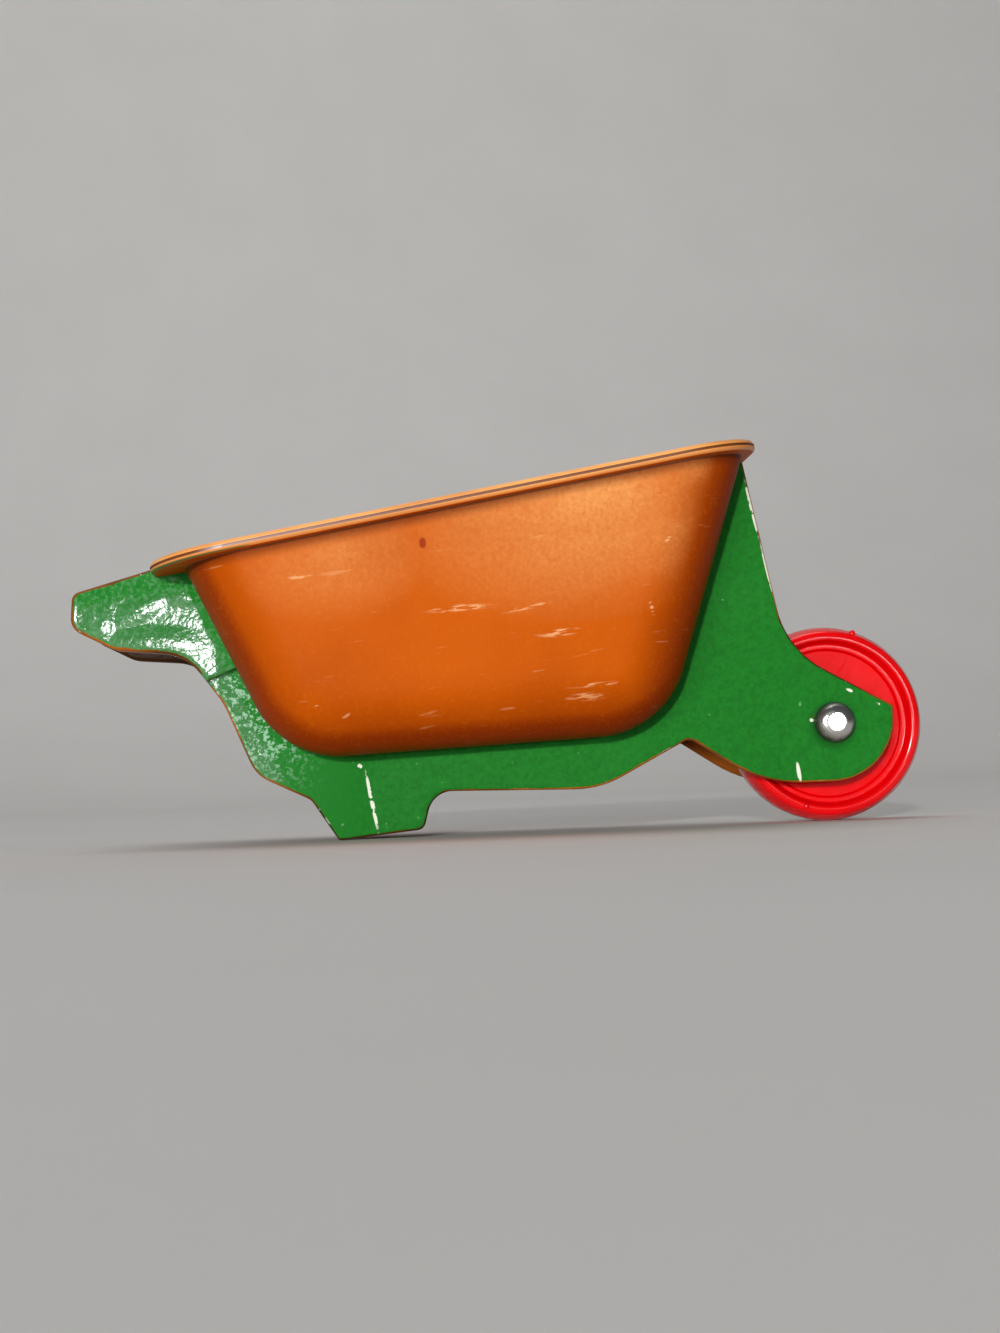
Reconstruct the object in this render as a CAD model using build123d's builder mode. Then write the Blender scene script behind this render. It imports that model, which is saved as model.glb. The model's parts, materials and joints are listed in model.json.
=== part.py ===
"""Toy wheelbarrow: a cast tub on two cast side frames, with a plastic wheel on a riveted axle.

Millimetres. +X points forwards, from the handles to the wheel, +Y to the left, +Z up.
The barrow stands on its wheel and on the rear corners of its two feet, at Z = 0.
The origin is on that ground, below the middle of the overall length.
"""

import os
from math import cos, radians, sin, tan

from build123d import *

# Overall places: the rear corner of the feet, the axle, and how far the handles reach past the rim
foot_to_axle = 48.9
handle_reach = 7.6
wheel_diameter = 19.4

# Tub, an open pan with leaning walls and a lipped rim that climbs towards the front
tub_length = 55.2
tub_width = 32.0
tub_wall = 1.0
tub_depth_front = 27.4
tub_depth_rear = 19.4
front_wall_lean = 17.2
rear_wall_lean = 25.1
side_wall_lean = 5.5
end_floor_radius = 9.0
tub_edge_radius = 6.2
rim_slope = 9.8
rim_thickness = 1.05
rim_front_lip = 0.8
rim_side_lip = 1.2
rim_rear_lip = 2.9
rim_edge_radius = 0.4
rim_groove_height = 0.16
rim_groove_depth = 0.12
mouth_edge_radius = 0.35
rim_tip_behind_axle = 7.8
rim_tip_height = 36.8

# Side frames, two cast plates that mirror each other
frame_spacing = 10.4
plate_thickness = 1.15
plate_edge_radius = 0.35
rail_bottom = 4.2
rail_slant = 0.2
rail_reach = 9.0
foot_length = 8.25
foot_rise = 0.75
foot_front_lean = 1.0
leg_rear_lean = 2.55
fork_reach = 5.95
fork_drop = 5.8
fork_nose_radius = 6.3
fork_nose_rise = 1.5
notch_behind_axle = 14.35
notch_below_axle = 1.05
fin_foot_behind_axle = 4.35
fin_foot_above_axle = 7.3
strip_reach = 2.95
strip_top_reach = 4.15
strip_foot_reach = 2.75
strip_top_rise = 10.4
strip_middle_rise = 5.75
strip_foot_drop = 1.3
front_edge_setback = 0.35
leg_fold_ahead = 3.25
fold_radius = 3.0
wing_splay = 6.0
handle_splay = 10.0
handle_extra = 0.45
handle_edge_radius = 0.5
handle_nose_drop = 2.45
handle_nose_lean = 0.25
handle_overreach = 0.1
handle_inset = 0.3
handle_depth = 5.75
handle_belly_drop = 7.9
handle_belly_reach = 4.0
crease_above_floor = 8.2
crease_reach = 2.3
crease_tilt = 22.0

# Wheel and axle
wheel_width = 5.5
wheel_side_play = 0.55
hub_diameter = 5.0
tread_flat = 2.2
tread_round = 4.0
shoulder_width = 0.65
shoulder_radius = 0.7
bead_width = 0.75
bead_depth = 0.8
step_width = 0.5
web_depth = 1.1
gate_nub_radius = 0.35
gate_nub_angle = 72.0
bead_nub_angle = 252.0
axle_diameter = 2.0
axle_head_diameter = 4.0
axle_head_height = 1.25
wheel_running_gap = 0.08
axle_hole_gap = 0.05

# Places that follow from the sizes above
slope = radians(rim_slope)
rim_length = rim_front_lip + tub_length + rim_rear_lip
axle_to_handle_tip = rim_tip_behind_axle + rim_length * cos(slope) + handle_reach
axle_z = wheel_diameter / 2
overall_length = axle_to_handle_tip + axle_z
axle_x = overall_length / 2 - axle_z
handle_tip_x = -overall_length / 2
foot_x = axle_x - foot_to_axle
fold_x = foot_x + leg_fold_ahead
rim_plane = Plane(
    origin=(axle_x - rim_tip_behind_axle, 0, rim_tip_height),
    x_dir=(cos(slope), 0, sin(slope)),
    z_dir=(-sin(slope), 0, cos(slope)),
)


def on_rim(behind_tip, below_top=0.0):
    """X and Z of a point measured back along the rim from its front tip, and down from its top."""
    point = rim_plane.from_local_coords(Vector(-behind_tip, 0, -below_top))
    return point.X, point.Z


# The tub seen from the side, before its corners are rounded
front_top = on_rim(rim_front_lip)
rear_top = on_rim(rim_front_lip + tub_length)
front_run = tub_depth_front * tan(radians(front_wall_lean))
rear_run = tub_depth_rear * tan(radians(rear_wall_lean))
front_floor = (front_top[0] - front_run, front_top[1] - tub_depth_front)
rear_floor = (rear_top[0] + rear_run, rear_top[1] - tub_depth_rear)


def pan_block():
    """The tub's outer shape as one solid block, without its lip."""
    side_profile = [front_top, front_floor, rear_floor, rear_top]
    half_top = tub_width / 2
    section_depth = 1.5 * tub_depth_front
    half_bottom = half_top - section_depth * tan(radians(side_wall_lean))
    cross_section = [
        (-half_top, 0),
        (-half_bottom, -section_depth),
        (half_bottom, -section_depth),
        (half_top, 0),
    ]
    with BuildPart() as pan:
        with BuildSketch(Plane.XZ):
            with BuildLine():
                FilletPolyline(*side_profile, radius=end_floor_radius)
                Line(rear_top, front_top)
            make_face()
        extrude(amount=tub_width, both=True)
        with BuildSketch(Plane(rim_plane.origin, x_dir=(0, 1, 0), z_dir=rim_plane.x_dir)):
            Polygon(*cross_section, align=None)
        extrude(amount=2 * tub_length, both=True, mode=Mode.INTERSECT)
        top = pan.faces().sort_by(Axis.Z)[-1]
        sides = pan.faces().sort_by(Axis.Y)
        corner_edges = (sides[0].edges() + sides[-1].edges()) - top.edges()
        fillet(corner_edges, radius=tub_edge_radius)
    return pan.part


def rim_plate():
    """The lip as a full plate over the tub's mouth, with rounded edges and a groove between them."""
    outline_size = (rim_length, tub_width + 2 * rim_side_lip)
    corner_radius = tub_edge_radius + rim_side_lip
    with BuildPart() as plate:
        with BuildSketch(rim_plane):
            with Locations((-rim_length / 2, 0)):
                RectangleRounded(*outline_size, corner_radius)
        extrude(amount=-rim_thickness)
        flat_faces = plate.faces().sort_by(Axis.Z)
        fillet(flat_faces[0].edges() + flat_faces[-1].edges(), radius=rim_edge_radius)
        with BuildSketch(rim_plane.offset(-(rim_thickness - rim_groove_height) / 2)):
            with Locations((-rim_length / 2, 0)):
                RectangleRounded(*outline_size, corner_radius)
                offset(amount=-rim_groove_depth, mode=Mode.SUBTRACT)
        extrude(amount=-rim_groove_height, mode=Mode.SUBTRACT)
    return plate.part


# Tub: the pan is hollowed from its mouth, and the lip is added round it
pan = pan_block()
plate = rim_plate()
with BuildPart() as tub_outside:
    add(pan)
    add(plate)

with BuildPart() as lip:
    add(plate)
    add(pan, mode=Mode.SUBTRACT)

with BuildPart() as tub:
    add(pan)
    offset(amount=-tub_wall, openings=tub.faces().sort_by(Axis.Z)[-1])
    add(lip.part)
    mouth = tub.faces().filter_by(Axis(rim_plane.origin, rim_plane.z_dir)).sort_by(SortBy.AREA)[-1]
    fillet(mouth.inner_wires().edges(), radius=mouth_edge_radius)


# Side frames: an upright profile is cut to a plan that splays out behind the leg
def behind_tub(above_floor, reach):
    """X and Z of a point a given reach behind the tub's rear wall."""
    wall_x = rear_floor[0] - max(above_floor, 0) * tan(radians(rear_wall_lean))
    return wall_x - reach, rear_floor[1] + above_floor


crease_point = behind_tub(crease_above_floor, crease_reach)


def frame_outline():
    """Corners of a frame seen from the side, each with the radius that rounds it."""
    inside_lip = rim_thickness / 2
    rim_rear_x, rim_rear_z = on_rim(rim_length)
    foot_front_x = foot_x + foot_length
    nose_x = handle_tip_x - handle_overreach
    return [
        # foot
        (foot_x, 0, 0.4),
        (foot_front_x, foot_rise, 0.9),
        (foot_front_x + foot_front_lean, rail_bottom + rail_slant, 2.4),
        # rail below the tub, notch behind the wheel and round nose of the fork
        (axle_x - notch_behind_axle - rail_reach, rail_bottom - rail_slant, 10.0),
        (axle_x - notch_behind_axle, axle_z - notch_below_axle, 1.2),
        (axle_x - notch_behind_axle / 2, axle_z - fork_drop, 13.0),
        (axle_x + fork_reach, axle_z - fork_drop, fork_nose_radius),
        (axle_x + fork_reach, axle_z + fork_nose_rise, 0.4),
        # front edge up to the rim
        (axle_x - fin_foot_behind_axle, axle_z + fin_foot_above_axle, 9.0),
        (*on_rim(front_edge_setback, inside_lip), 0),
        (rim_rear_x + handle_inset, rim_rear_z - handle_overreach, 0),
        # handle
        (nose_x + handle_nose_lean, rim_rear_z - handle_nose_drop, 0.9),
        (nose_x, rim_rear_z - handle_depth, 1.6),
        (handle_tip_x + handle_belly_reach, rim_rear_z - handle_belly_drop, 3.2),
        # strip down the back of the tub to the foot
        (*behind_tub(strip_top_rise, strip_top_reach), 4.6),
        (*behind_tub(strip_middle_rise, strip_reach), 7.0),
        (*behind_tub(-strip_foot_drop, strip_foot_reach), 3.6),
        (foot_x - leg_rear_lean, rail_bottom - rail_slant, 1.4),
    ]


def plan_band(thickness_added):
    """Outline of the right-hand frame seen from above, outer face first."""
    outer_y = -frame_spacing / 2
    inner_y = outer_y + plate_thickness
    crease_x = crease_point[0]
    far_x = handle_tip_x - 1
    crease_out = (fold_x - crease_x) * tan(radians(wing_splay))
    tip_out = crease_out + (crease_x - far_x) * tan(radians(handle_splay))
    front_x = axle_x + wheel_diameter
    return [
        (front_x, outer_y - thickness_added),
        (fold_x, outer_y - thickness_added),
        (crease_x, outer_y - crease_out - thickness_added),
        (far_x, outer_y - tip_out - thickness_added),
        (far_x, inner_y - tip_out),
        (crease_x, inner_y - crease_out),
        (fold_x, inner_y),
        (front_x, inner_y),
    ]


def banded_profile(outline, thickness_added, edge_radius, above=None):
    """A solid with the given side outline, kept to the frame's splayed plan, its edges rounded."""
    with BuildPart() as banded:
        with BuildSketch(Plane.XZ):
            with BuildLine():
                corners = [(x, z) for x, z, radius in outline]
                radii = [radius for x, z, radius in outline]
                FilletPolyline(*corners, radius=radii, close=True)
            make_face()
        extrude(amount=tub_width, both=True)
        with BuildSketch(Plane.XY):
            with BuildLine():
                folds = [0, fold_radius, fold_radius, 0]
                FilletPolyline(*plan_band(thickness_added), radius=2 * folds, close=True)
            make_face()
        extrude(amount=2 * rim_tip_height, mode=Mode.INTERSECT)
        if above:
            split(bisect_by=above, keep=Keep.TOP)
        narrow_faces = banded.faces().filter_by(lambda face: abs(face.normal_at().Y) < 0.5)
        across = banded.edges().filter_by(Axis.Y)
        fillet(narrow_faces.edges() - across, radius=edge_radius)
    return banded.part


crease = Plane(
    origin=(crease_point[0], 0, crease_point[1]),
    x_dir=(0, 1, 0),
    z_dir=(-sin(radians(crease_tilt)), 0, cos(radians(crease_tilt))),
)
side_outline = frame_outline()
thin_plate = banded_profile(side_outline, 0, plate_edge_radius)
handle = banded_profile(side_outline, handle_extra, handle_edge_radius, above=crease)

with BuildPart() as right_side_frame:
    add(thin_plate)
    add(handle)
    add(tub_outside.part, mode=Mode.SUBTRACT)
    with BuildSketch(Plane((axle_x, 0, axle_z), x_dir=(1, 0, 0), z_dir=(0, -1, 0))):
        Circle(axle_diameter / 2 + axle_hole_gap)
    extrude(amount=frame_spacing, both=True, mode=Mode.SUBTRACT)

with BuildPart() as left_side_frame:
    mirror(right_side_frame.part, about=Plane.XZ)

# Wheel: one turned section, with a bead at the edge, a step, a sunk web and a long hub
wheel_plane = Plane((axle_x, 0, axle_z), x_dir=(1, 0, 0), z_dir=(0, -1, 0))
turning_plane = Plane((axle_x, 0, axle_z), x_dir=(1, 0, 0), z_dir=(0, 0, 1))
rim_radius = wheel_diameter / 2
side_y = wheel_width / 2
shoulder = rim_radius - shoulder_width
bead_inner = shoulder - bead_width
web_edge = bead_inner - bead_depth / 2 - step_width
hub_end = frame_spacing / 2 - plate_thickness - wheel_side_play
bore_radius = axle_diameter / 2 + wheel_running_gap
half_section = [
    (rim_radius, 0, 0),
    (rim_radius, tread_flat / 2, tread_round),
    (shoulder, side_y, shoulder_radius),
    (bead_inner, side_y, shoulder_radius / 2),
    (bead_inner - bead_depth / 2, side_y - bead_depth, 0.2),
    (web_edge, side_y - bead_depth, 0.12),
    (web_edge - 0.1, side_y - web_depth, 0.15),
    (hub_diameter / 2, side_y - web_depth, 0.2),
    (hub_diameter / 2, hub_end, 0.3),
    (bore_radius, hub_end, 0),
    (bore_radius, 0, 0),
]

with BuildPart() as wheel:
    with BuildSketch(turning_plane):
        with BuildLine():
            FilletPolyline(
                *[(r, y) for r, y, radius in half_section],
                radius=[radius for r, y, radius in half_section],
                close=True,
            )
        make_face()
        mirror(about=Plane(turning_plane.origin, z_dir=(0, 1, 0)))
    revolve(axis=Axis((axle_x, 0, axle_z), (0, 1, 0)))
    # pips left by the moulding, one on the tread's shoulder and one on the bead
    with Locations(wheel_plane):
        with PolarLocations(rim_radius - gate_nub_radius, 1, start_angle=gate_nub_angle):
            with Locations((0, 0, side_y - shoulder_radius)):
                Sphere(gate_nub_radius)
        with PolarLocations(bead_inner + 0.3, 1, start_angle=bead_nub_angle):
            with Locations((0, 0, side_y - gate_nub_radius / 2)):
                Sphere(gate_nub_radius)

# Axle: a plain shank with a low domed head pressed on to the outside of each fork arm
with BuildPart() as axle:
    with BuildSketch(wheel_plane):
        Circle(axle_diameter / 2)
    extrude(amount=frame_spacing / 2, both=True)
    for end in (-1, 1):
        head_plane = Plane((axle_x, end * frame_spacing / 2, axle_z), z_dir=(0, end, 0))
        with BuildSketch(head_plane):
            Circle(axle_head_diameter / 2)
        extrude(amount=axle_head_height)
    rims = axle.edges().filter_by(GeomType.CIRCLE).group_by(Axis.Y)
    fillet(rims[0] + rims[-1], radius=0.9 * axle_head_height)

os.makedirs("parts", exist_ok=True)
pieces = {
    "tub": tub,
    "right_side_frame": right_side_frame,
    "left_side_frame": left_side_frame,
    "wheel": wheel,
    "axle": axle,
}
for name, piece in pieces.items():
    piece.part.label = name
    export_step(piece.part, f"parts/{name}.step")
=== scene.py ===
import json
import math

import bpy
from mathutils import Matrix, Vector

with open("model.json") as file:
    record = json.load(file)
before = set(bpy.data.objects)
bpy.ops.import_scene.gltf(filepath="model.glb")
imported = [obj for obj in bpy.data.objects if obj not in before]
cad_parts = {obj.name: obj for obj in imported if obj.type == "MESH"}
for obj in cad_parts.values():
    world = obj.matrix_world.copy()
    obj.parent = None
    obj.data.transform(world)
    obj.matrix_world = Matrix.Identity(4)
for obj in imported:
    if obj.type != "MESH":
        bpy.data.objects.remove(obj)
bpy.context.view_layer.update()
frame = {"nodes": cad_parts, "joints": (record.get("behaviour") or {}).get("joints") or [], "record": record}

# ---------------------------------------------------------------------------
# Tub: a cast metal pan in orange enamel, a little grainy like sprayed paint.
# Handling has rubbed a few scuffs into its sides. A pale haze high on its sides
# and the brighter lip are painted highlight, the lip's edge a little worn, and
# painted shade darkens the corners and the groove and crease at the lip.
# ---------------------------------------------------------------------------
MM = 0.001
nodes = frame["nodes"]
mounts = {mount["name"]: mount for mount in frame["record"]["mounts"]}
lip_top = Vector(mounts["rim_top"]["pos_m"])
lip_up = Vector(mounts["rim_top"]["axis"])
lip_thickness = 1.05 * MM
rear_wall_foot = Vector((-22.0, 0, 7.9)) * MM
rear_wall_inwards = Vector((0.906, 0, 0.424))


def new_paint(name):
    """A material with an empty node tree, its Principled shader and its output."""
    material = bpy.data.materials.new(name)
    material.use_nodes = True
    tree = material.node_tree
    tree.nodes.clear()
    shader = tree.nodes.new("ShaderNodeBsdfPrincipled")
    output = tree.nodes.new("ShaderNodeOutputMaterial")
    tree.links.new(shader.outputs["BSDF"], output.inputs["Surface"])
    return material, tree, shader


def add(tree, kind, sockets=None, **settings):
    """Adds a node, sets its settings, and fills its sockets from values or other nodes' sockets."""
    node = tree.nodes.new("ShaderNode" + kind)
    for key, value in settings.items():
        setattr(node, key, value)
    for key, value in (sockets or {}).items():
        if isinstance(value, bpy.types.NodeSocket):
            tree.links.new(value, node.inputs[key])
        else:
            node.inputs[key].default_value = value
    return node


def sums(tree, operation, first, second=0.0, third=0.0, clamp=False):
    """One step of arithmetic on numbers or sockets."""
    node = add(tree, "Math", {0: first, 1: second, 2: third}, operation=operation, use_clamp=clamp)
    return node.outputs[0]


def product(tree, first, *others):
    """Numbers or sockets multiplied together."""
    for other in others:
        first = sums(tree, "MULTIPLY", first, other)
    return first


def beyond(tree, coords, point, direction):
    """How far the surface lies beyond a plane through the point, along the plane's direction."""
    offset = add(tree, "VectorMath", {0: coords, 1: point}, operation="SUBTRACT").outputs[0]
    return add(tree, "VectorMath", {0: offset, 1: direction}, operation="DOT_PRODUCT").outputs["Value"]


def between(tree, value, low, high):
    """Rises smoothly from 0 to 1 as the value goes from low to high."""
    sockets = {"Value": value, "From Min": low, "From Max": high}
    return add(tree, "MapRange", sockets, interpolation_type="SMOOTHSTEP").outputs["Result"]


def mottle(tree, coords, size, detail=2.0, roughness=0.5, stretch=None, turn=0.0):
    """Noise whose blotches are about size metres across, drawn out along X, Y or Z by stretch."""
    if stretch:
        sockets = {"Vector": coords, "Rotation": (0, turn, 0), "Scale": stretch}
        coords = add(tree, "Mapping", sockets, vector_type="TEXTURE").outputs["Vector"]
    sockets = {"Vector": coords, "Scale": 1 / size, "Detail": detail, "Roughness": roughness}
    return add(tree, "TexNoise", sockets).outputs["Fac"]


def tint(tree, amount, colour, over):
    """Lays a colour over another by amount, from 0 to 1."""
    sockets = {"Factor": amount}
    node = add(tree, "Mix", sockets, data_type="RGBA")
    for index, value in ((6, over), (7, colour)):
        if isinstance(value, bpy.types.NodeSocket):
            tree.links.new(value, node.inputs[index])
        else:
            node.inputs[index].default_value = (*value, 1)
    return node.outputs[2]


def scuff(tree, coords, centre, length, width, turn=0.0):
    """A soft spindle-shaped mark in the X-Z plane: 1 along its middle, 0 outside. Sizes in mm."""
    sockets = {
        "Vector": coords,
        "Location": (centre[0] * MM, 0, centre[1] * MM),
        "Rotation": (0, -math.radians(turn), 0),
        "Scale": (length * MM / 2, 1, width * MM / 2),
    }
    mapped = add(tree, "Mapping", sockets, vector_type="TEXTURE").outputs["Vector"]
    flat = add(tree, "VectorMath", {0: mapped, 1: (1, 0, 1)}, operation="MULTIPLY").outputs[0]
    distance = add(tree, "VectorMath", {0: flat}, operation="LENGTH").outputs["Value"]
    return sums(tree, "SUBTRACT", 1.0, distance, clamp=True)


def bumpy(tree, *layers):
    """A chain of bumps, each layer a height socket and its depth in metres."""
    normal = None
    for height, depth in layers:
        sockets = {"Height": height, "Strength": 1.0, "Distance": depth}
        if normal:
            sockets["Normal"] = normal
        normal = add(tree, "Bump", sockets).outputs["Normal"]
    return normal


def orange_enamel():
    orange = (0.57, 0.098, 0.001)
    deep_orange = (0.20, 0.016, 0.0005)
    sheen_colour = (0.84, 0.37, 0.11)
    lit_edge = (0.88, 0.40, 0.11)
    scratch = (0.92, 0.50, 0.22)
    shade_brown = (0.10, 0.016, 0.002)
    shaded_overspray = (0.008, 0.085, 0.012)
    fleck = (0.72, 0.17, 0.004)
    red_stain = (0.30, 0.02, 0.004)
    middle = Vector((-3.5, 0, 20)) * MM
    shade_reach = 7.5 * MM
    # a foot on each wall and on the floor, the way inwards from it, and how dark the painted shade is there
    shade_from = [
        (rear_wall_foot, rear_wall_inwards, 0.5),
        (Vector((14.8, 0, 9.3)) * MM, (-0.955, 0, 0.296), 0.85),
        (Vector((0.0, 0, 8.7)) * MM, (-0.038, 0, 0.999), 0.55),
    ]
    # centre (X and Z), length and width in mm, and turn in degrees
    scuffs = [
        ((-4.9, 21.3), 8.5, 0.9, 3),
        ((1.5, 21.2), 6.4, 0.5, 11),
        ((4.2, 18.75), 5.4, 1.1, 4),
        ((7.6, 13.8), 7.2, 0.5, 4),
        ((6.7, 12.7), 5.4, 1.0, 2),
        ((-19.6, 24.6), 3.0, 0.6, 3),
        ((-18.3, 12.55), 1.2, 0.5, -30),
        ((-15.8, 11.7), 1.2, 0.4, 30),
        ((-9.9, 10.1), 1.5, 0.5, 24),
        ((13.0, 20.9), 0.5, 2.4, 12),
        ((14.7, 27.1), 1.6, 0.5, 40),
        ((-0.8, 11.85), 2.0, 0.35, 5),
    ]
    material, tree, shader = new_paint("orange_enamel")
    coords = add(tree, "TexCoord").outputs["Object"]
    surface = add(tree, "TexCoord").outputs["Normal"]
    normal = add(tree, "SeparateXYZ", {0: surface}).outputs
    place = add(tree, "SeparateXYZ", {0: coords}).outputs
    from_middle = add(tree, "VectorMath", {0: coords, 1: middle}, operation="SUBTRACT").outputs[0]
    facing = add(tree, "VectorMath", {0: from_middle, 1: surface}, operation="DOT_PRODUCT")
    outside = between(tree, facing.outputs["Value"], 0.0, 0.003)
    height = beyond(tree, coords, lip_top, lip_up)

    # paint laid on unevenly: broad clouds and the fine grain of the spray; and painted
    # shade, darker over the rounded corners and towards the walls' feet and the floor
    clouds = mottle(tree, coords, 0.018, detail=3)
    grain = mottle(tree, coords, 0.00042, detail=3, roughness=0.7)
    bend = sums(tree, "ABSOLUTE", normal["Y"])
    painted_shading = product(tree, between(tree, bend, 0.985, 0.6), 0.8)
    for foot, inwards, darkness in shade_from:
        inside = beyond(tree, coords, foot, inwards)
        shade = product(tree, between(tree, inside, shade_reach, 0.0), darkness)
        painted_shading = sums(tree, "MAXIMUM", painted_shading, shade)
    below_lip = between(tree, height, -0.0010, -0.0012)
    painted_shading = product(tree, painted_shading, outside, below_lip)
    cloudy = product(tree, between(tree, clouds, 0.35, 0.75), 0.3)
    colour = tint(tree, cloudy, deep_orange, orange)
    colour = tint(tree, painted_shading, deep_orange, colour)
    light_grain = product(tree, between(tree, grain, 0.5, 0.8), 0.25)
    colour = tint(tree, light_grain, fleck, colour)

    # painted highlight: a pale sheen high on the right-hand side, broken up by the grain
    right_side = between(tree, product(tree, normal["Y"], -1), 0.8, 0.98)
    right_side = product(tree, right_side, outside)
    patch = scuff(tree, coords, (8, 32.5), 42, 26, 9.8)
    rear_patch = scuff(tree, coords, (-16, 26.5), 20, 13, 9.8)
    patch = sums(tree, "MAXIMUM", patch, product(tree, rear_patch, 0.6))
    uneven = mottle(tree, coords, 0.007, detail=3, stretch=(2, 2, 1), turn=-0.17)
    patch = product(tree, patch, between(tree, uneven, 0.15, 0.6))
    wear_and_sheen = product(tree, patch, between(tree, grain, -0.2, 0.8), right_side, 0.95)
    colour = tint(tree, wear_and_sheen, sheen_colour, colour)

    # scuffs: the marked ones on the right-hand side, fine random ones everywhere
    streaks = mottle(tree, coords, 0.0006, detail=4, stretch=(9, 9, 1), turn=-0.12)
    marks = product(tree, between(tree, streaks, 0.66, 0.74), 0.35)
    broken = mottle(tree, coords, 0.00025, detail=3, stretch=(6, 6, 1), turn=-0.12)
    broken = between(tree, broken, 0.40, 0.62)
    for centre, length, width, turn in scuffs:
        mark = scuff(tree, coords, centre, length, width, turn)
        mark = between(tree, product(tree, mark, broken), 0.05, 0.6)
        marks = sums(tree, "MAXIMUM", marks, product(tree, mark, right_side))
    colour = tint(tree, product(tree, marks, 0.6), scratch, colour)
    spot = scuff(tree, coords, (-8.2, 27.4), 0.9, 1.4)
    spot = product(tree, between(tree, spot, 0.1, 0.5), right_side, 0.85)
    colour = tint(tree, spot, red_stain, colour)

    # the lip: a painted highlight round its edge, broken by wear; painted shade in the
    # groove there and in the crease under it; and green overspray on its underside
    # beside the handles, painted dark as shade
    on_lip = product(tree, between(tree, height, -0.0012, -0.0010), outside)
    lip_sheen_and_wear = between(tree, mottle(tree, coords, 0.0016, detail=4, stretch=(6, 6, 1)), 0.25, 0.6)
    lip_sheen_and_wear = product(tree, lip_sheen_and_wear, between(tree, height, -0.0008, -0.0003))
    lip_sheen_and_wear = sums(tree, "MULTIPLY_ADD", lip_sheen_and_wear, 0.45, 0.5)
    colour = tint(tree, product(tree, on_lip, lip_sheen_and_wear), lit_edge, colour)
    # painted shade: dark brown in the lip's groove and in the crease under the lip
    groove_shade = sums(tree, "COMPARE", height, -lip_thickness / 2, 0.13 * MM)
    under_lip_shade = between(tree, height, -0.0024, -0.0012)
    under_lip_shade = product(tree, under_lip_shade, between(tree, height, -0.00095, -0.0011))
    lip_shade = sums(tree, "MAXIMUM", groove_shade, product(tree, under_lip_shade, 0.85))
    colour = tint(tree, product(tree, lip_shade, outside, 0.85), shade_brown, colour)
    # green overspray under the lip beside the handles, painted dark as shade
    sprayed = between(tree, place["X"], -0.0235, -0.0250)
    downward = between(tree, normal["Z"], -0.35, -0.7)
    colour = tint(tree, product(tree, sprayed, downward, outside, 0.9), shaded_overspray, colour)
    tree.links.new(colour, shader.inputs["Base Color"])

    rough = sums(tree, "MULTIPLY_ADD", between(tree, grain, 0.3, 0.8), 0.14, 0.36)
    rough = sums(tree, "MULTIPLY_ADD", marks, 0.12, rough)
    tree.links.new(rough, shader.inputs["Roughness"])
    tree.links.new(product(tree, on_lip, 0.8), shader.inputs["Coat Weight"])
    shader.inputs["Coat Roughness"].default_value = 0.3
    shader.inputs["Specular IOR Level"].default_value = 0.05
    peel = mottle(tree, coords, 0.0011, detail=1)
    swell = mottle(tree, coords, 0.009, detail=1)
    layers = ((swell, 0.00012), (peel, 0.000014), (grain, 0.000010))
    dents = product(tree, marks, -1.0)
    tree.links.new(bumpy(tree, *layers, (dents, 0.00001)), shader.inputs["Normal"])
    shader.inputs["IOR"].default_value = 1.45
    return material


nodes["tub"].material_slots[0].material = orange_enamel()

# ---------------------------------------------------------------------------
# Side frames: two cast plates seated against the tub, base-coated orange all over
# with green sprayed on to their outer faces only. The green wears off the edges,
# and lies thick and wrinkled on the handles. Painted highlight brightens the green
# towards the handle and dots the leg with glints; painted shade darkens the crease
# of the leg and a ring round the rivet.
# ---------------------------------------------------------------------------
wheel_centre = Vector(frame["joints"][0]["pos_m"])


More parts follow.
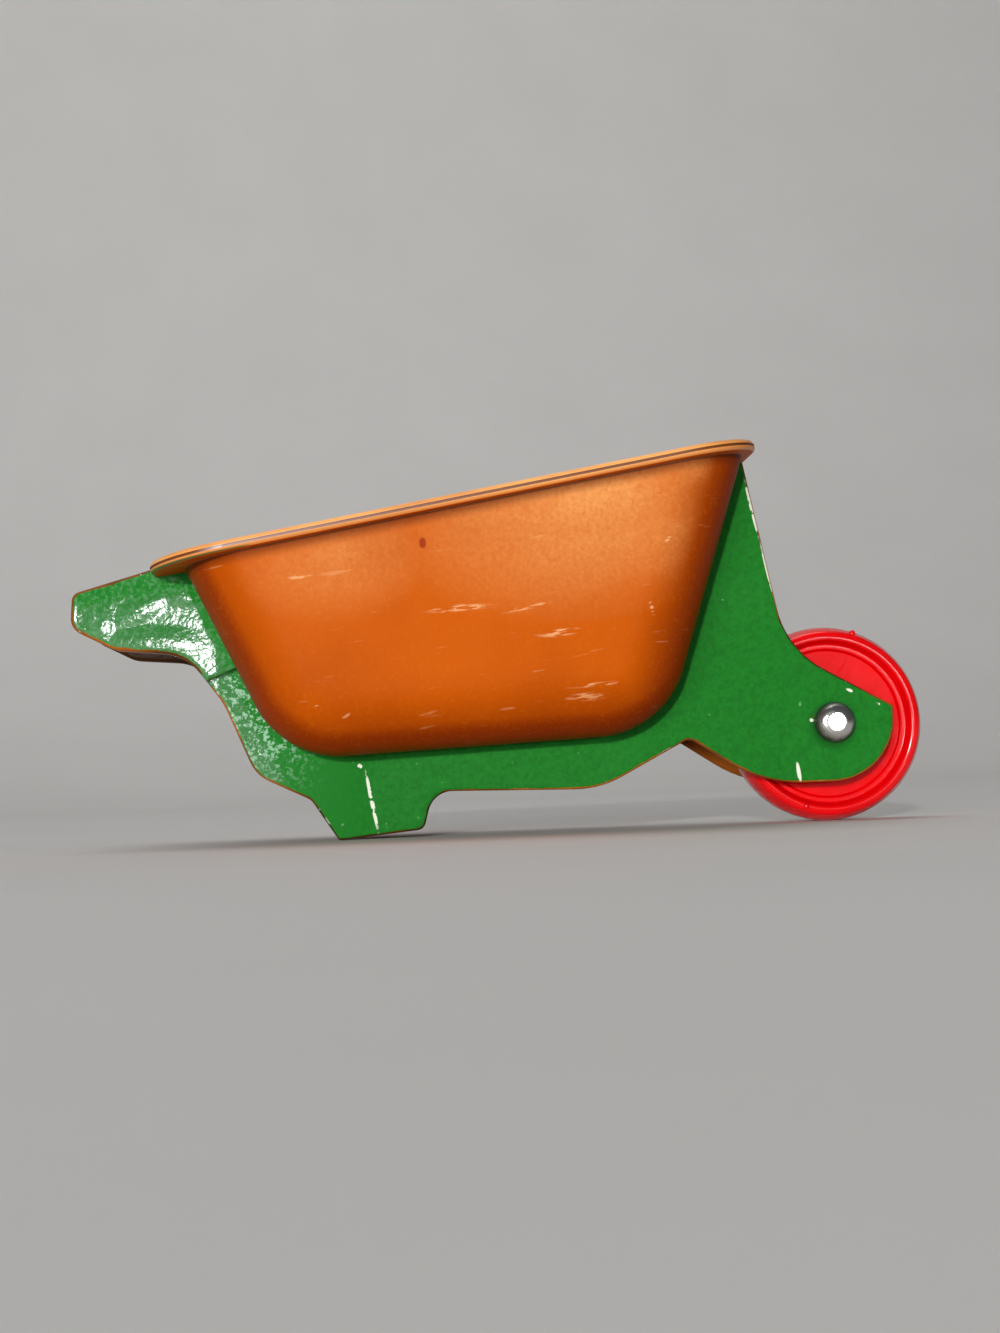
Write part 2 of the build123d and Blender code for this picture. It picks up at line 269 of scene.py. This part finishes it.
def green_over_orange(name, side, chips):
    green = (0.011, 0.195, 0.016)
    bright_green = (0.034, 0.25, 0.042)
    dark_green = (0.005, 0.085, 0.008)
    base_coat = (0.44, 0.127, 0.013)
    dirty_base = (0.06, 0.022, 0.006)
    pale_fleck = (0.25, 0.55, 0.28)
    glint = (0.50, 0.80, 0.58)
    bare = (0.88, 0.92, 0.74)
    crease_point = Vector((-28.17, 0, 16.07)) * MM
    crease_tilt = math.radians(22)
    crease_up = (-math.sin(crease_tilt), 0, math.cos(crease_tilt))
    # centre (X and Z), length and half width in mm, and turn in degrees
    ridges = [
        ((-35.2, 22.6), 7.6, 1.5, 27),
        ((-30.6, 24.0), 6.0, 1.6, 3),
        ((-27.4, 19.9), 9.0, 1.4, -62),
        ((-33.6, 19.5), 12.0, 2.0, -4),
        ((-38.6, 21.4), 5.0, 1.6, 80),
    ]
    material, tree, shader = new_paint(name)
    coords = add(tree, "TexCoord").outputs["Object"]
    facing = add(tree, "SeparateXYZ", {0: add(tree, "TexCoord").outputs["Normal"]}).outputs["Y"]
    outward = product(tree, facing, side)
    place = add(tree, "SeparateXYZ", {0: coords}).outputs

    # the green coat in fine grain, with a painted sheen brightening it towards the handle
    grain = mottle(tree, coords, 0.00045, detail=3, roughness=0.7)
    clouds = mottle(tree, coords, 0.012, detail=3)
    rear = between(tree, place["X"], -0.012, -0.026)
    above = beyond(tree, coords, crease_point, crease_up)
    on_leg = between(tree, place["X"], -0.0235, -0.0245)
    handle = product(tree, between(tree, above, 0.0, 0.0003), on_leg)
    grainy = product(tree, between(tree, grain, 0.3, 0.75), 0.5)
    colour = tint(tree, grainy, dark_green, green)
    painted_shading = product(tree, rear, between(tree, grain, 0.35, 0.65))
    colour = tint(tree, product(tree, painted_shading, 0.8), bright_green, colour)
    pale = product(tree, between(tree, clouds, 0.5, 0.8), 0.2)
    colour = tint(tree, pale, bright_green, colour)
    flecks = between(tree, mottle(tree, coords, 0.0006, detail=1), 0.76, 0.82)
    colour = tint(tree, product(tree, flecks, 0.5), pale_fleck, colour)

    # painted glints: pale dots all down the leg, fewer over the handle
    painted_glints = between(tree, mottle(tree, coords, 0.00042, detail=2, roughness=0.6), 0.50, 0.62)
    strip = between(tree, place["X"], -0.0175, -0.0235)
    strip = product(tree, strip, between(tree, place["Z"], 0.0035, 0.0105))
    glint_density = sums(tree, "MULTIPLY_ADD", handle, -0.50, 0.60)
    painted_glints = product(tree, painted_glints, glint_density, strip, between(tree, outward, 0.7, 0.95))
    colour = tint(tree, painted_glints, glint, colour)

    # painted shade darkens the crease of the leg and a ring round the rivet's head
    crease_shade = sums(tree, "COMPARE", above, -0.04 * MM, 0.16 * MM)
    colour = tint(tree, product(tree, crease_shade, on_leg, 0.9), dark_green, colour)
    # painted shadow: a dark ring on the plate round the rivet's head
    ring_centre = (wheel_centre.x / MM - 0.15, wheel_centre.z / MM - 0.25)
    rivet_shade = scuff(tree, coords, ring_centre, 5.6, 5.6)
    colour = tint(tree, between(tree, rivet_shade, 0.02, 0.4), dark_green, colour)

    # orange base coat on the edges and the inner face, dirty in patches
    ragged = sums(tree, "MULTIPLY_ADD", mottle(tree, coords, 0.0012, detail=4), 0.4, outward)
    coat = between(tree, ragged, 1.01, 1.12)
    fold = sums(tree, "COMPARE", above, 0.2 * MM, 0.7 * MM)
    fold = product(tree, fold, on_leg, between(tree, outward, 0.1, 0.3))
    coat = sums(tree, "MAXIMUM", coat, fold)
    base = tint(tree, between(tree, clouds, 0.4, 0.65), base_coat, dirty_base)
    colour = tint(tree, coat, colour, base)

    # chips: in patches along the edges, and the worn lines
    edge = between(tree, outward, 0.5, 0.8)
    edge = product(tree, edge, between(tree, outward, 0.975, 0.9))
    patchy = between(tree, mottle(tree, coords, 0.0016, detail=5, roughness=0.65), 0.60, 0.66)
    chipped = product(tree, edge, patchy, sums(tree, "MULTIPLY_ADD", rear, 0.6, 0.2))
    on_face = between(tree, outward, 0.6, 0.9)
    broken = between(tree, mottle(tree, coords, 0.0006, detail=4), 0.30, 0.52)
    for centre, length, width, turn in chips:
        mark = scuff(tree, coords, centre, length, width, turn)
        mark = between(tree, product(tree, mark, broken), 0.08, 0.35)
        chipped = sums(tree, "MAXIMUM", chipped, product(tree, mark, on_face))
    colour = tint(tree, product(tree, chipped, 0.9), bare, colour)
    tree.links.new(colour, shader.inputs["Base Color"])

    # glossier towards the handle, whose face is cast in soft ridges, and dull
    # where it meets the tub and the lip
    rough = sums(tree, "MULTIPLY_ADD", between(tree, grain, 0.3, 0.8), 0.12, 0.40)
    rough = sums(tree, "MULTIPLY_ADD", rear, -0.14, rough)
    rough = sums(tree, "MULTIPLY_ADD", handle, -0.08, rough)
    tree.links.new(rough, shader.inputs["Roughness"])
    relief = 0.0
    for centre, length, half_width, turn in ridges:
        ridge = scuff(tree, coords, centre, length, 2 * half_width, turn)
        ridge = between(tree, ridge, 0.0, 0.9)
        relief = sums(tree, "MAXIMUM", relief, ridge)
    relief = product(tree, relief, handle)
    wrinkle = mottle(tree, coords, 0.0011, detail=2, roughness=0.6)
    wrinkle_height = product(tree, wrinkle, sums(tree, "MULTIPLY_ADD", rear, 0.9, 0.15))
    speckle = product(tree, mottle(tree, coords, 0.0004, detail=1), rear)
    layers = ((relief, 0.00009), (wrinkle_height, 0.000028), (speckle, 0.000016), (chipped, -0.00003))
    uneven_face = bumpy(tree, *layers)
    tree.links.new(uneven_face, shader.inputs["Normal"])
    tree.links.new(uneven_face, shader.inputs["Coat Normal"])
    reach = beyond(tree, coords, rear_wall_foot, -rear_wall_inwards)
    drop = beyond(tree, coords, lip_top, -lip_up)
    off_handle = sums(tree, "SUBTRACT", 1, handle)
    clear_of_lip = sums(tree, "MAXIMUM", between(tree, drop, 0.0022, 0.0034), off_handle)
    clear_of_tub = between(tree, reach, 0.0004, 0.0016)
    gloss = product(tree, clear_of_tub, clear_of_lip, rear, coat)
    tree.links.new(gloss, shader.inputs["Coat Weight"])
    shader.inputs["Coat Roughness"].default_value = 0.14
    shader.inputs["Coat IOR"].default_value = 2.2
    shader.inputs["Specular IOR Level"].default_value = 0.05
    return material


# centre (X and Z), length and width in mm, and turn in degrees
right_chips = [
    ((-13.75, 3.6), 7.4, 0.5, 100),
    ((-14.8, 7.1), 0.6, 0.6, 0),
    ((28.1, 4.9), 2.6, 0.5, 97),
    ((36.4, 11.3), 0.8, 0.35, -30),
    ((33.5, 12.8), 0.9, 0.4, -28),
    ((29.6, 10.0), 0.5, 0.5, 0),
    ((24.6, 31.0), 7.4, 0.42, -78.5),
    ((25.85, 25.0), 6.6, 0.40, -78.5),
    ((27.35, 20.3), 3.4, 0.32, -66),
]
left_chips = [
    ((-13.4, 3.4), 6.4, 0.4, 99),
    ((34.7, 5.6), 1.0, 0.35, 35),
    ((25.6, 26.4), 5.0, 0.5, -78.5),
    ((-24.6, 12.8), 1.2, 0.4, 115),
]
nodes["right_side_frame"].material_slots[0].material = green_over_orange(
    "green_over_orange_right", -1, right_chips
)
nodes["left_side_frame"].material_slots[0].material = green_over_orange(
    "green_over_orange_left", 1, left_chips
)

# ---------------------------------------------------------------------------
# Axle: a steel rivet, bright on the crown of its head, darker and rougher round
# the foot of the head where it meets the paint.
# ---------------------------------------------------------------------------


def rivet_steel():
    steel = (0.78, 0.77, 0.73)
    darker_foot_colour = (0.06, 0.06, 0.05)
    plate_face = 5.2 * MM
    material, tree, shader = new_paint("rivet_steel")
    coords = add(tree, "TexCoord").outputs["Object"]
    place = add(tree, "SeparateXYZ", {0: coords}).outputs
    out = sums(tree, "SUBTRACT", sums(tree, "ABSOLUTE", place["Y"]), plate_face)
    cloud = mottle(tree, coords, 0.0009, detail=4)
    height = sums(tree, "MULTIPLY_ADD", cloud, 0.0004, out)
    darker_foot = between(tree, height, 0.00140, 0.0009)
    colour = tint(tree, product(tree, darker_foot, 0.85), darker_foot_colour, steel)
    tree.links.new(colour, shader.inputs["Base Color"])
    rough = sums(tree, "MULTIPLY_ADD", darker_foot, 0.35, 0.16)
    rough = sums(tree, "MULTIPLY_ADD", between(tree, cloud, 0.5, 0.7), 0.12, rough)
    tree.links.new(rough, shader.inputs["Roughness"])
    shader.inputs["Metallic"].default_value = 1.0
    dings = mottle(tree, coords, 0.0005, detail=3)
    tree.links.new(bumpy(tree, (dings, 0.00002)), shader.inputs["Normal"])
    return material


nodes["axle"].material_slots[0].material = rivet_steel()

# ---------------------------------------------------------------------------
# Wheel: one moulding in red plastic, glossiest on its bead, with faint swirls
# from the flow of the plastic and light rubbing on the tread. It turns freely.
# ---------------------------------------------------------------------------


def red_plastic():
    red = (0.80, 0.001, 0.003)
    deep_red = (0.50, 0.001, 0.003)
    wear_and_sheen = (0.85, 0.10, 0.09)
    tread_radius = wheel_centre.z
    material, tree, shader = new_paint("red_plastic")
    coords = add(tree, "TexCoord").outputs["Object"]
    sockets = {0: coords, 1: wheel_centre}
    from_centre = add(tree, "VectorMath", sockets, operation="SUBTRACT").outputs[0]
    across = add(tree, "VectorMath", {0: from_centre, 1: (1, 0, 1)}, operation="MULTIPLY").outputs[0]
    radius = add(tree, "VectorMath", {0: across}, operation="LENGTH").outputs["Value"]
    flow = mottle(tree, coords, 0.004, detail=3, roughness=0.6)
    colour = tint(tree, product(tree, between(tree, flow, 0.35, 0.7), 0.2), deep_red, red)
    worn = between(tree, radius, tread_radius - 0.0003, tread_radius - 0.00005)
    worn = product(tree, worn, between(tree, mottle(tree, coords, 0.001, detail=5), 0.5, 0.7))
    colour = tint(tree, product(tree, worn, 0.25), wear_and_sheen, colour)
    tree.links.new(colour, shader.inputs["Base Color"])
    hairlines = mottle(tree, coords, 0.0005, detail=4, stretch=(1, 1, 7), turn=0.6)
    rough = sums(tree, "MULTIPLY_ADD", between(tree, hairlines, 0.55, 0.75), 0.14, 0.22)
    rough = sums(tree, "MULTIPLY_ADD", worn, 0.25, rough)
    tree.links.new(rough, shader.inputs["Roughness"])
    ripple = mottle(tree, coords, 0.0025, detail=2)
    layers = ((ripple, 0.00004), (hairlines, 0.000004))
    tree.links.new(bumpy(tree, *layers), shader.inputs["Normal"])
    shader.inputs["Specular IOR Level"].default_value = 0.06
    crest = between(tree, radius, tread_radius - 0.0022, tread_radius - 0.0016)
    tree.links.new(product(tree, crest, 0.7), shader.inputs["Coat Weight"])
    shader.inputs["Coat Roughness"].default_value = 0.12
    return material


nodes["wheel"].material_slots[0].material = red_plastic()

# ---------------------------------------------------------------------------
# Studio: a pale paper sweep, lit by a small hard key up and to the left of the
# camera, a soft box overhead, and two panels whose reflections lie on the handle
# and on the rivet. The camera looks almost square on at the right-hand side.
# ---------------------------------------------------------------------------


def pale_paper():
    material, tree, shader = new_paint("pale_paper")
    coords = add(tree, "TexCoord").outputs["Object"]
    colour = tint(tree, mottle(tree, coords, 0.05, detail=4), (0.62, 0.61, 0.59), (0.68, 0.67, 0.65))
    tree.links.new(colour, shader.inputs["Base Color"])
    shader.inputs["Roughness"].default_value = 0.8
    return material


def soft_box(name, place, target, size, power):
    light = bpy.data.lights.new(name, "AREA")
    light.shape = "RECTANGLE"
    light.size, light.size_y = size
    light.energy = power
    lamp = bpy.data.objects.new(name, light)
    lamp.location = place
    lamp.rotation_euler = (Vector(target) - Vector(place)).to_track_quat("-Z", "Y").to_euler()
    bpy.context.scene.collection.objects.link(lamp)


half_width = 3.0
sweep_start = 0.5
sweep_radius = 0.4
sweep_height = 1.5
sweep_steps = 16
profile = [(-half_width, 0.0)]
for step in range(sweep_steps + 1):
    angle = math.radians(90) * step / sweep_steps
    y = sweep_start + sweep_radius * math.sin(angle)
    profile.append((y, sweep_radius * (1 - math.cos(angle))))
profile.append((sweep_start + sweep_radius, sweep_height))
verts = [(x, y, z) for y, z in profile for x in (-half_width, half_width)]
faces = [(2 * k, 2 * k + 1, 2 * k + 3, 2 * k + 2) for k in range(len(profile) - 1)]
floor_mesh = bpy.data.meshes.new("floor")
floor_mesh.from_pydata(verts, [], faces)
floor_mesh.shade_smooth()
floor_mesh.materials.append(pale_paper())
floor = bpy.data.objects.new("floor", floor_mesh)
bpy.context.scene.collection.objects.link(floor)

# the camera stands close by, tipped up a little and rolled by two degrees
aim = Vector((-0.845, -5.2, 16.3)) * MM
distance = 200 * MM
image_height_at_aim = 130.05 * MM
yaw = math.radians(3.35)
tip_up = math.radians(3.3)
roll = math.radians(2.15)
toward = Vector(
    (math.sin(yaw) * math.cos(tip_up), math.cos(yaw) * math.cos(tip_up), math.sin(tip_up))
)
camera_place = aim - toward * distance


def away(left, up, reach):
    """A place at a distance from the barrow, by angles to the left of and above its right-hand side."""
    left, up = math.radians(left), math.radians(up)
    outward = Vector((-math.sin(left) * math.cos(up), -math.cos(left) * math.cos(up), math.sin(up)))
    return aim + outward * reach


soft_box("key", away(12, 9, 1.2), aim, (0.05, 0.05), 8.2)
soft_box("handle_panel", away(23, 6, 1.0), aim, (0.42, 0.22), 3.8)
soft_box("wheel_panel", away(-16, 3, 1.0), aim, (0.08, 0.08), 0.5)
soft_box("top", (-0.1, 0.25, 1.1), (0, 0.35, 0), (0.8, 0.8), 4.4)

sky = bpy.data.worlds.new("sky")
sky.use_nodes = True
sky.node_tree.nodes["Background"].inputs["Color"].default_value = (0.93, 0.95, 1.0, 1)
sky.node_tree.nodes["Background"].inputs["Strength"].default_value = 0.08
bpy.context.scene.world = sky
bpy.context.scene.view_settings.view_transform = "Standard"

camera_data = bpy.data.cameras.new("camera")
camera_data.sensor_width = 36
camera_data.lens = camera_data.sensor_width * distance / image_height_at_aim
camera_data.clip_start = 0.01
camera = bpy.data.objects.new("camera", camera_data)
upright = toward.to_track_quat("-Z", "Y").to_matrix()
camera.matrix_world = Matrix.Translation(camera_place) @ (
    upright @ Matrix.Rotation(-roll, 3, "Z")
).to_4x4()
bpy.context.scene.collection.objects.link(camera)
bpy.context.scene.camera = camera
